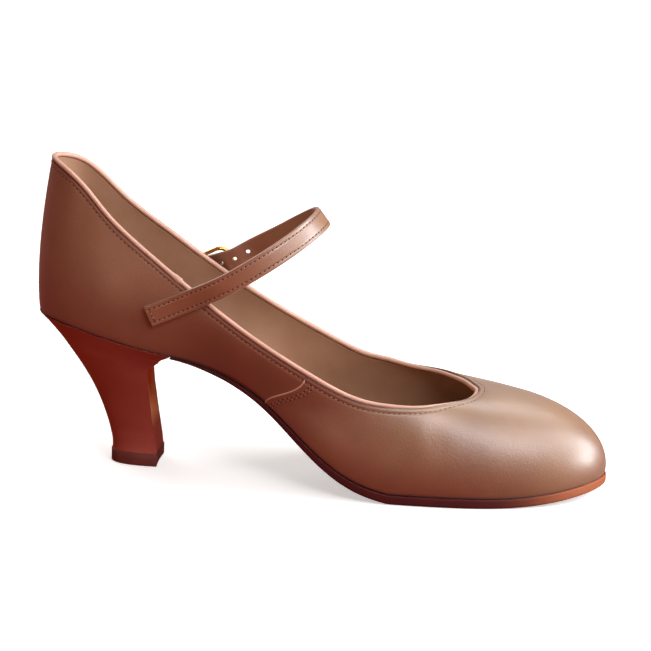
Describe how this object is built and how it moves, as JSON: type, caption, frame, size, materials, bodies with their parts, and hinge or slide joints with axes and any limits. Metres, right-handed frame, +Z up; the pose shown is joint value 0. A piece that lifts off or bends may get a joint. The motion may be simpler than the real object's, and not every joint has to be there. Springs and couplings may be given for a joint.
{
  "type": "character shoe",
  "caption": "Left dance court shoe with a closed round toe, low throat, flared medium heel and one buckled strap over the instep.",
  "frame": {"origin": "on the floor, under the middle of the heel's top piece", "axes": "+X towards the toe, +Y towards the outer side of the foot, where the buckle is, +Z up"},
  "size_m": [0.2348, 0.0776, 0.1268],
  "materials": {
    "upper_leather": "satin",
    "binding_leather": "matte",
    "sole_leather": "matte",
    "sock_lining": "matte",
    "heel_leather": "satin",
    "tread_rubber": "matte",
    "strap_leather": "satin",
    "buckle_brass": "polished",
    "prong_brass": "polished",
    "tab_ribbon": "ribbed"
  },
  "bodies": {
    "root": {"upper": "upper_leather", "topline_binding": "binding_leather", "outsole": "sole_leather", "insole": "sock_lining", "heel": "heel_leather", "top_piece": "tread_rubber", "strap": "strap_leather", "buckle_frame": "buckle_brass", "buckle_prong": "prong_brass", "buckle_tab": "tab_ribbon"}
  },
  "joints": []
}
